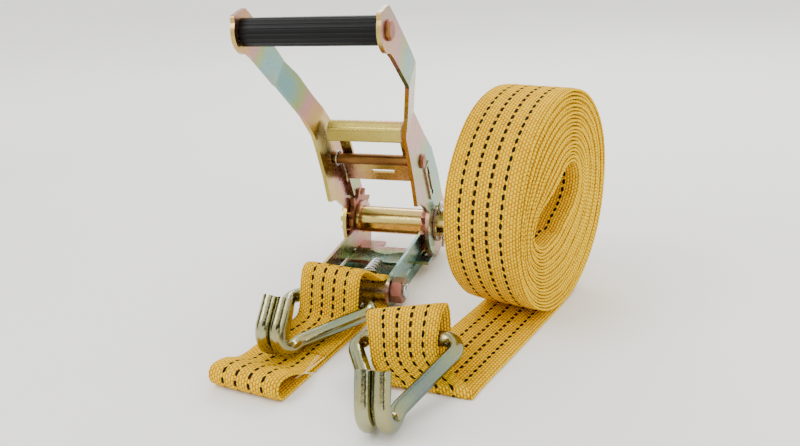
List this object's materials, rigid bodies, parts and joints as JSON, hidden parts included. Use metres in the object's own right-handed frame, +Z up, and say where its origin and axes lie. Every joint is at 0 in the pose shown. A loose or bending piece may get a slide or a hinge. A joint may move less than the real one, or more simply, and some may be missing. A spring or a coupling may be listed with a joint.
{
  "type": "ratchet tie down",
  "caption": "Webbing ratchet with swinging handle, sprung pawls and slotted spool, a short hooked strap and a long hooked strap wound in a roll.",
  "frame": {"origin": "on the floor, straight below the middle of the spool's axis", "axes": "+X along the spool to the nut's side, +Z up, -Y along the base towards the strap bolt"},
  "size_m": [0.2104, 0.2736, 0.2069],
  "materials": {
    "zinc_gold": "yellow zinc plate",
    "zinc_gold_dark": "rough yellow zinc plate",
    "bolt_steel": "plain zinc",
    "spring_steel": "bright drawn wire",
    "hook_zinc": "bright zinc plate",
    "black_plastic": "moulded, fluted",
    "webbing": "woven polyester with black stitched marks"
  },
  "bodies": {
    "base": {"base_frame": "zinc_gold", "strap_bolt": "bolt_steel", "strap_bolt_nut": "zinc_gold_dark", "strap_bolt_sleeve": "bolt_steel"},
    "lock_pawl": {"lock_pawl": "zinc_gold", "lock_pawl_spring": "spring_steel"},
    "handle": {"handle_side_right": "zinc_gold", "handle_side_left": "zinc_gold", "handle_cross_rod": "zinc_gold_dark", "handle_grip_rod": "zinc_gold_dark", "drive_pawl_springs": "spring_steel"},
    "grip": {"handle_grip": "black_plastic"},
    "drive_pawl": {"drive_pawl": "zinc_gold"},
    "spool": {"spool_half_upper": "zinc_gold", "spool_half_lower": "zinc_gold", "ratchet_wheel_right": "zinc_gold_dark", "ratchet_wheel_left": "zinc_gold_dark", "spool_washers": "zinc_gold", "split_pin_right": "spring_steel", "split_pin_left": "spring_steel"},
    "short_strap": {"short_strap_bolt_eye": "webbing", "short_strap_run": "webbing", "short_strap_hook_eye": "webbing"},
    "hook_1": {"hook_short_strap": "hook_zinc"},
    "long_strap": {"long_strap_eye": "webbing", "long_strap_run": "webbing", "long_strap_roll": "webbing"},
    "hook_2": {"hook_long_strap": "hook_zinc"}
  },
  "joints": [
    {"name": "lock_pawl_slide", "type": "slide", "parent": "base", "child": "lock_pawl", "axis": [0, 1, 0], "range_m": [-0.0045, 0.0045], "stiffness_N_per_m": 300},
    {"name": "handle_swing", "type": "hinge", "parent": "base", "child": "handle", "pos_m": [0, 0, 0.027], "axis": [-1, 0, 0], "range_deg": [-48, 120]},
    {"name": "grip_turn", "type": "hinge", "parent": "handle", "child": "grip", "pos_m": [0, -0.1225, 0.193], "axis": [1, 0, 0], "continuous": true},
    {"name": "drive_pawl_slide", "type": "slide", "parent": "handle", "child": "drive_pawl", "axis": [0, -0.3987, 0.9171], "range_m": [-0.0034, 0.003], "stiffness_N_per_m": 400},
    {"name": "spool_turn", "type": "hinge", "parent": "base", "child": "spool", "pos_m": [0, 0, 0.027], "axis": [1, 0, 0], "continuous": true},
    {"name": "short_strap_lift", "type": "hinge", "parent": "base", "child": "short_strap", "pos_m": [0, -0.09, 0.0115], "axis": [-1, 0, 0], "range_deg": [0, 8]},
    {"name": "hook_1_tip", "type": "hinge", "parent": "short_strap", "child": "hook_1", "pos_m": [-0.005, -0.117, 0.0142], "axis": [-0.9914, 0.1305, 0], "range_deg": [0, 40]},
    {"name": "long_strap_take_away", "type": "slide", "parent": "base", "child": "long_strap", "axis": [1, 0, 0], "range_m": [0, 0.08]},
    {"name": "hook_2_tip", "type": "hinge", "parent": "long_strap", "child": "hook_2", "pos_m": [0.0644, -0.1684, 0.021], "axis": [-0.9969, -0.0592, -0.0523], "range_deg": [0, 40]}
  ]
}
